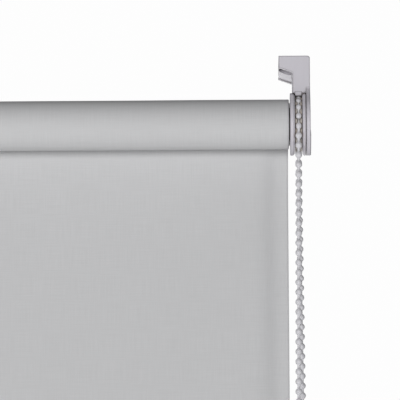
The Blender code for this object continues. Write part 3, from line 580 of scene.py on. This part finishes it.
def through(points, spacing):
    """Points on a smooth curve through the route's points."""
    ends = [2 * points[0] - points[1], *points, 2 * points[-1] - points[-2]]
    curve = []
    for before, start, end, after in zip(ends, ends[1:], ends[2:], ends[3:]):
        count = max(2, round((end - start).length / spacing))
        for k in range(count):
            t = k / count
            bend = (2 * before - 5 * start + 4 * end - after) * t**2
            twist = (3 * start - before - 3 * end + after) * t**3
            curve.append(0.5 * (2 * start + (end - before) * t + bend + twist))
    return curve + [points[-1]]


class Path:
    """A polyline that can be read at any distance from its start."""

    def __init__(self, points):
        self.points = np.array([tuple(p) for p in points])
        steps = np.linalg.norm(np.diff(self.points, axis=0), axis=1)
        self.reach = np.concatenate([[0], np.cumsum(steps)])
        self.length = float(self.reach[-1])

    def at(self, distance):
        return np.array([np.interp(distance, self.reach, self.points[:, k]) for k in range(3)])

    def direction(self, distance):
        step = 0.8 * MM
        ahead = self.at(min(distance + step, self.length))
        behind = self.at(max(distance - step, 0))
        return (ahead - behind) / np.linalg.norm(ahead - behind)


def chain_mesh(name, path, beads, look):
    """Beads moulded on a thread, as one body swept along a path. beads are distances along it."""
    stations = [(0.0, THREAD_RADIUS)]
    for bead in beads:
        stations += [(bead + s * MM, r * MM) for s, r in BEAD_PROFILE]
    stations.append((path.length, THREAD_RADIUS))
    stations = [(s, r) for s, r in stations if 0 <= s <= path.length]
    verts, faces = [], []
    for distance, radius in stations:
        centre = path.at(distance)
        ahead = path.direction(distance)
        side = np.array((1.0, 0, 0)) - ahead[0] * ahead
        side /= np.linalg.norm(side)
        other = np.cross(ahead, side)
        for k in range(CHAIN_SIDES):
            angle = TURN * k / CHAIN_SIDES
            verts.append(centre + radius * (side * math.cos(angle) + other * math.sin(angle)))
    for i in range(len(stations) - 1):
        for k in range(CHAIN_SIDES):
            n = (k + 1) % CHAIN_SIDES
            low, high = i * CHAIN_SIDES, (i + 1) * CHAIN_SIDES
            faces.append((low + k, low + n, high + n, high + k))
    faces.append(list(reversed(range(CHAIN_SIDES))))
    faces.append([(len(stations) - 1) * CHAIN_SIDES + k for k in range(CHAIN_SIDES)])
    return add_piece(name, verts, faces, look, "root")


def add_chain(look):
    centre = Vector((0, 0, AXIS_Z))
    route = through([centre + Vector(point) * MM for point in CHAIN_ROUTE], ROUTE_STEP)
    path = Path(route)
    start = -CHAIN_ROUTE[0][2] * MM
    first = FIRST_BEAD_DROP - start
    last = path.length - (LAST_BEAD_DROP - start)
    count = round((last - first) / BEAD_PITCH)
    beads = [first + (last - first) * i / count for i in range(count + 1)]
    hanging = chain_mesh("bead_chain_hanging", path, beads, look)
    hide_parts("bead_chain_loop")
    arc = []
    for i in range(ARC_STEPS + 1):
        angle = math.pi - math.pi * i / ARC_STEPS
        arc.append((0, CHAIN_RADIUS * math.cos(angle), AXIS_Z + CHAIN_RADIUS * math.sin(angle)))
    arc = [(0, -CHAIN_RADIUS, AXIS_Z - ARC_TAIL), *arc, (0, CHAIN_RADIUS, AXIS_Z - ARC_TAIL)]
    angles = [FIRST_POCKET + TURN * k / POCKETS for k in range(POCKETS // 2)]
    on_wheel = [ARC_TAIL + CHAIN_RADIUS * angle for angle in angles]
    upper = chain_mesh("bead_chain_on_wheel", Path(arc), on_wheel, look)
    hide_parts("bead_chain_upper")


def add_wheel_rim(look):
    """The wheel's toothed rim: a pocket for each bead, and a slot for the thread between them."""
    pocket = BEAD_RADIUS + POCKET_PLAY
    tooth_top = CHAIN_RADIUS + TOOTH_RISE
    slot_floor = CHAIN_RADIUS - THREAD_RADIUS - SLOT_FLOOR_PLAY
    slot_half = THREAD_RADIUS + SLOT_SIDE_PLAY
    seat = (WHEEL_HIGH.z - WHEEL_LOW.z) / 2 - RIM_SEAT

    def height(x):
        def radius(angle):
            from_front = math.pi - angle - FIRST_POCKET
            share = (from_front / (TURN / POCKETS) + 0.5) % 1 - 0.5
            away = share * TURN / POCKETS * CHAIN_RADIUS
            inside = pocket**2 - x**2 - away**2
            floor = CHAIN_RADIUS - math.sqrt(inside) if inside > 0 else tooth_top
            slot = slot_floor if abs(x) < slot_half else tooth_top
            return min(floor, slot, tooth_top)

        return radius

    places = [-RIM_HALF * share for share in RIM_STATIONS]
    places += [RIM_HALF * share for share in reversed(RIM_STATIONS[:-1])]
    profile = [(-RIM_HALF, seat)] + [(x, height(x)) for x in places] + [(RIM_HALF, seat)]
    turned("chain_wheel_teeth", profile, POCKETS * POCKET_STEPS, look, "wheel")


# ---------------------------------------------------------------- cloth


def edge_curl(inset):
    """How far the cloth stands back near a side edge: a step, and a lip that turns to the room again."""
    step = 0.5 * (1 - math.tanh((inset - CURL_INSET) / CURL_WIDTH))
    lip = math.exp(-((inset / CURL_LIP) ** 2))
    return CURL_HEIGHT * step - CURL_TURN * lip


def ripple(x, depth):
    """The slow waves of the hanging cloth: none at the roll, and flattened by the hem's bar."""
    right = SHEET_HIGH.x - x
    left = x - SHEET_LOW.x
    share = depth / DROP_LENGTH
    grown = 1 - math.exp(-depth / WAVE_START)
    curled = 1 - math.exp(-depth / CURL_START)
    held = 1 - BAR_HOLD * max(0.0, (share - BAR_HOLD_FROM) / BAR_HOLD_SPAN) ** 2
    slow = waves(x, SLOW_WAVES)
    slanted = waves(x + WAVE_SLANT * depth, SLANTED_WAVES)
    curl = edge_curl(right) + LEFT_CURL * edge_curl(left)
    return held * (curled * curl * (1 - CURL_LOSS * share) + grown * (LEAN_BACK - slow - slanted))


def drawn_in(x, depth):
    """The curl draws the side edges in a little."""
    right = math.exp(-(SHEET_HIGH.x - x) / EDGE_DRAW_REACH)
    left = math.exp(-(x - SHEET_LOW.x) / EDGE_DRAW_REACH)
    return x + EDGE_DRAW * (left - right) * (1 - math.exp(-depth / CURL_START))


def add_hanging_cloth(look):
    right = [SHEET_HIGH.x - inset * MM for inset in RIGHT_INSETS]
    left = [SHEET_LOW.x + inset * MM for inset in LEFT_INSETS]
    middle = np.linspace(left[-1], right[-1], SHEET_COLUMNS)
    xs = sorted(set(left) | set(middle.tolist()) | set(right))
    top = [depth * MM for depth in TOP_DEPTHS]
    depths = top + np.linspace(top[-1], DROP_LENGTH + HEM_TUCK, SHEET_ROWS)[1:].tolist()
    grid = np.zeros((len(depths), len(xs), 3))
    uv = np.zeros((len(depths), len(xs), 2))
    for i, depth in enumerate(depths):
        for j, x in enumerate(xs):
            grid[i, j] = (drawn_in(x, depth), SHEET_Y + ripple(x, depth), AXIS_Z - depth)
            uv[i, j] = (x, -depth)
    piece = cloth("hanging_cloth", grid, uv, look, "root")
    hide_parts("hanging_fabric")
    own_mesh(piece)
    return piece


def add_lead(look):
    """The last quarter turn, which leaves the roll at its rear and goes over into the hanging cloth."""
    xs = np.linspace(SHEET_LOW.x, SHEET_HIGH.x, LEAD_COLUMNS)
    grid = np.zeros((LEAD_STEPS + 1, len(xs), 3))
    uv = np.zeros((LEAD_STEPS + 1, len(xs), 2))
    inner = ROLL_RADIUS - CLOTH_THICKNESS / 2
    for i in range(LEAD_STEPS + 1):
        angle = LEAD_ANGLE * (1 - i / LEAD_STEPS)
        lift = (SHEET_Y - inner) * math.cos(angle * math.pi / 2 / LEAD_ANGLE) ** 2
        radius = inner + LEAD_CLEARANCE + lift
        for j, x in enumerate(xs):
            grid[i, j] = (x, radius * math.cos(angle), AXIS_Z + radius * math.sin(angle))
            uv[i, j] = (x, radius * angle)
    return cloth("cloth_leaving_roll", grid, uv, look, "root")


def add_roll(look):
    """The turns left on the tube, as one spiral with real layers at its ends."""
    steps = round(TURN_STEPS * WOUND_TURNS)
    xs = [ROLL_LOW.x, ROLL_LOW.x + 1 * MM]
    xs += np.linspace(ROLL_LOW.x + 4 * MM, ROLL_HIGH.x - 4 * MM, ROLL_COLUMNS).tolist()
    xs += [ROLL_HIGH.x - 1 * MM, ROLL_HIGH.x]
    grid = np.zeros((steps + 1, len(xs), 3))
    uv = np.zeros((steps + 1, len(xs), 2))
    outer = ROLL_RADIUS - CLOTH_THICKNESS / 2
    around = 0.0
    for i in range(steps + 1):
        angle = TURN * i / TURN_STEPS
        radius = outer - (CLOTH_THICKNESS + LAYER_GAP) * max(0.0, angle - TURN * OUTER_TURN) / TURN
        around += radius * TURN / TURN_STEPS
        for j, x in enumerate(xs):
            uneven = waves(x, ((0.23, 0.035 * MM, 0.4 + angle), (0.081, 0.02 * MM, 1.9 - angle)))
            stray = LAYER_STRAY * math.sin(STRAY_RATE * angle) if j in (0, len(xs) - 1) else 0
            r = radius + uneven
            grid[i, j] = (x + stray, r * math.cos(angle), AXIS_Z + r * math.sin(angle))
            uv[i, j] = (x, around)
    piece = cloth("wound_cloth", grid, uv, look, "roll")
    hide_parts("fabric_roll")


def add_hem(look, seam_look):
    """The pocket round the bar: cloth folded up behind and welded to itself above the bar."""
    centre_y = SHEET_Y
    half = BAR_REAR - centre_y + HEM_SLACK
    top = HEM_HIGH.z - CLOTH_THICKNESS / 2
    low = HEM_LOW.z + CLOTH_THICKNESS / 2
    outline = [(centre_y - 0.25 * MM, top)]
    outline += [(centre_y - 0.6 * MM, top - HEM_NECK), (centre_y - half * 0.9, top - HEM_SHOULDER)]
    outline += [(centre_y - half, top - share * (top - low)) for share in HEM_SHARES]
    turn = [math.pi * k / HEM_TURN_STEPS for k in range(HEM_TURN_STEPS + 1)]
    outline += [(centre_y - half * math.cos(a), low + half - half * math.sin(a)) for a in turn]
    outline += [(centre_y + half, top - share * (top - low)) for share in reversed(HEM_SHARES)]
    outline += [(centre_y + half * 0.9, top - HEM_SHOULDER), (centre_y + 0.75 * MM, top - HEM_NECK)]
    outline += [(centre_y + 0.45 * MM, top)]
    xs = np.linspace(HEM_LOW.x, HEM_HIGH.x, HEM_COLUMNS)
    grid = np.zeros((len(outline), len(xs), 3))
    uv = np.zeros((len(outline), len(xs), 2))
    around = 0.0
    for i, (y, z) in enumerate(outline):
        if i:
            around += math.dist(outline[i - 1], (y, z))
        slack = math.sin(math.pi * i / (len(outline) - 1))
        for j, x in enumerate(xs):
            uneven = waves(x, ((0.137, 0.10 * MM, 0.7), (0.059, 0.05 * MM, 2.2 + 0.2 * i)))
            grid[i, j] = (x, y + slack * uneven, z)
            uv[i, j] = (x, -around)
    piece = cloth("hem_cloth", grid, uv, look, "hem")
    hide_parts("hem_pocket")
    return [piece, add_weld(seam_look)]


def add_weld(look):
    """The welded seam above the bar: a low band with a row of pressed ribs, on the room side."""
    low = HEM_HIGH.z - 2.3 * MM
    high = HEM_HIGH.z - 0.3 * MM
    xs = np.arange(HEM_LOW.x + 1 * MM, HEM_HIGH.x - 1 * MM, 0.5 * MM)
    zs = np.linspace(high, low, 5)
    grid = np.zeros((len(zs), len(xs), 3))
    uv = np.zeros((len(zs), len(xs), 2))
    for i, z in enumerate(zs):
        edge = 0.0 if i in (0, len(zs) - 1) else 1.0
        lean = 0.55 * MM + (high - z) * 0.62
        for j, x in enumerate(xs):
            rib = RIB_HEIGHT * edge * (1 + math.sin(TURN * x / RIB_PITCH))
            grid[i, j] = (x, SHEET_Y - lean - rib, z)
            uv[i, j] = (x, z)
    return cloth("hem_weld", grid, uv, look, "hem", thickness=WELD_THICKNESS)


# ---------------------------------------------------------------- CAD nodes that stay


def dress(node, look):
    """A new material for a CAD node, smooth across its small bevels."""
    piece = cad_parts[node]
    piece.data.materials.clear()
    piece.data.materials.append(look)
    piece.data.polygons.foreach_set("use_smooth", [True] * len(piece.data.polygons))
    piece.data.set_sharp_from_angle(angle=SHARP_ANGLE)
    normals = piece.modifiers.new("even_shading", "WEIGHTED_NORMAL")
    normals.keep_sharp = True


def dress_frame():
    bracket = moulded_plastic(
        "bracket_plastic",
        (0.625, 0.605, 0.652),
        0.46,
        # Strong painted shade in the screw hole and other deep recesses, and painted shade along the
        # edges.
        painted_shade_tint=(0.14, 0.125, 0.11),
        reach=6 * MM,
        open_from=0.70,
        rounding=0.8 * MM,
        painted_edge_shade=0.58,
    )
    clutch_colour = (0.640, 0.618, 0.665)
    # Each of these plastics gets painted shade in its corners; the clutch also gets it along its edges.
    clutch = moulded_plastic("clutch_plastic", clutch_colour, 0.46, rounding=0.5 * MM, painted_edge_shade=0.75)
    nylon = moulded_plastic("wheel_plastic", (0.50, 0.47, 0.44), 0.5)
    plug = moulded_plastic("plug_plastic", (0.10, 0.10, 0.105), 0.6)
    strip = moulded_plastic("strip_plastic", (0.66, 0.66, 0.65), 0.5)
    spring = metal("spring_steel", (0.55, 0.55, 0.57), 0.3)
    screw = metal("screw_steel", (0.62, 0.62, 0.62), 0.32)
    pin = metal("pin_steel", (0.60, 0.60, 0.61), 0.22)
    aluminium = metal("aluminium", (0.77, 0.78, 0.79), 0.36)
    looks = {
        "chain_bracket": bracket,
        "idle_bracket": bracket,
        "bar_end_cap_left": bracket,
        "bar_end_cap_right": bracket,
        "clutch_housing": clutch,
        "guard_cover": clutch,
        "chain_wheel": nylon,
        "idle_bush": nylon,
        "drive_plug": plug,
        "idle_plug": plug,
        "idle_plug_cap": plug,
        "fixing_strip": strip,
        "wrap_spring_1": spring,
        "wrap_spring_2": spring,
        "pin_spring": spring,
        "retaining_washer": screw,
        "spindle_screw": screw,
        "idle_pin": pin,
        "roller_tube": aluminium,
        "bottom_bar": aluminium,
        "chain_connector": clear_plastic(),
    }
    for node, look in looks.items():
        dress(node, look)
    return nylon


def build():
    add_camera()
    beads = bead_plastic()
    add_chain(beads)
    nylon = dress_frame()
    add_wheel_rim(nylon)
    cloth_look = blind_cloth()
    lead = add_lead(cloth_look)
    hanging = add_hanging_cloth(cloth_look)
    hem = add_hem(cloth_look, edge_cloth())
    add_roll(cloth_look)
    add_world()
    add_lights()
    add_floor()


build()
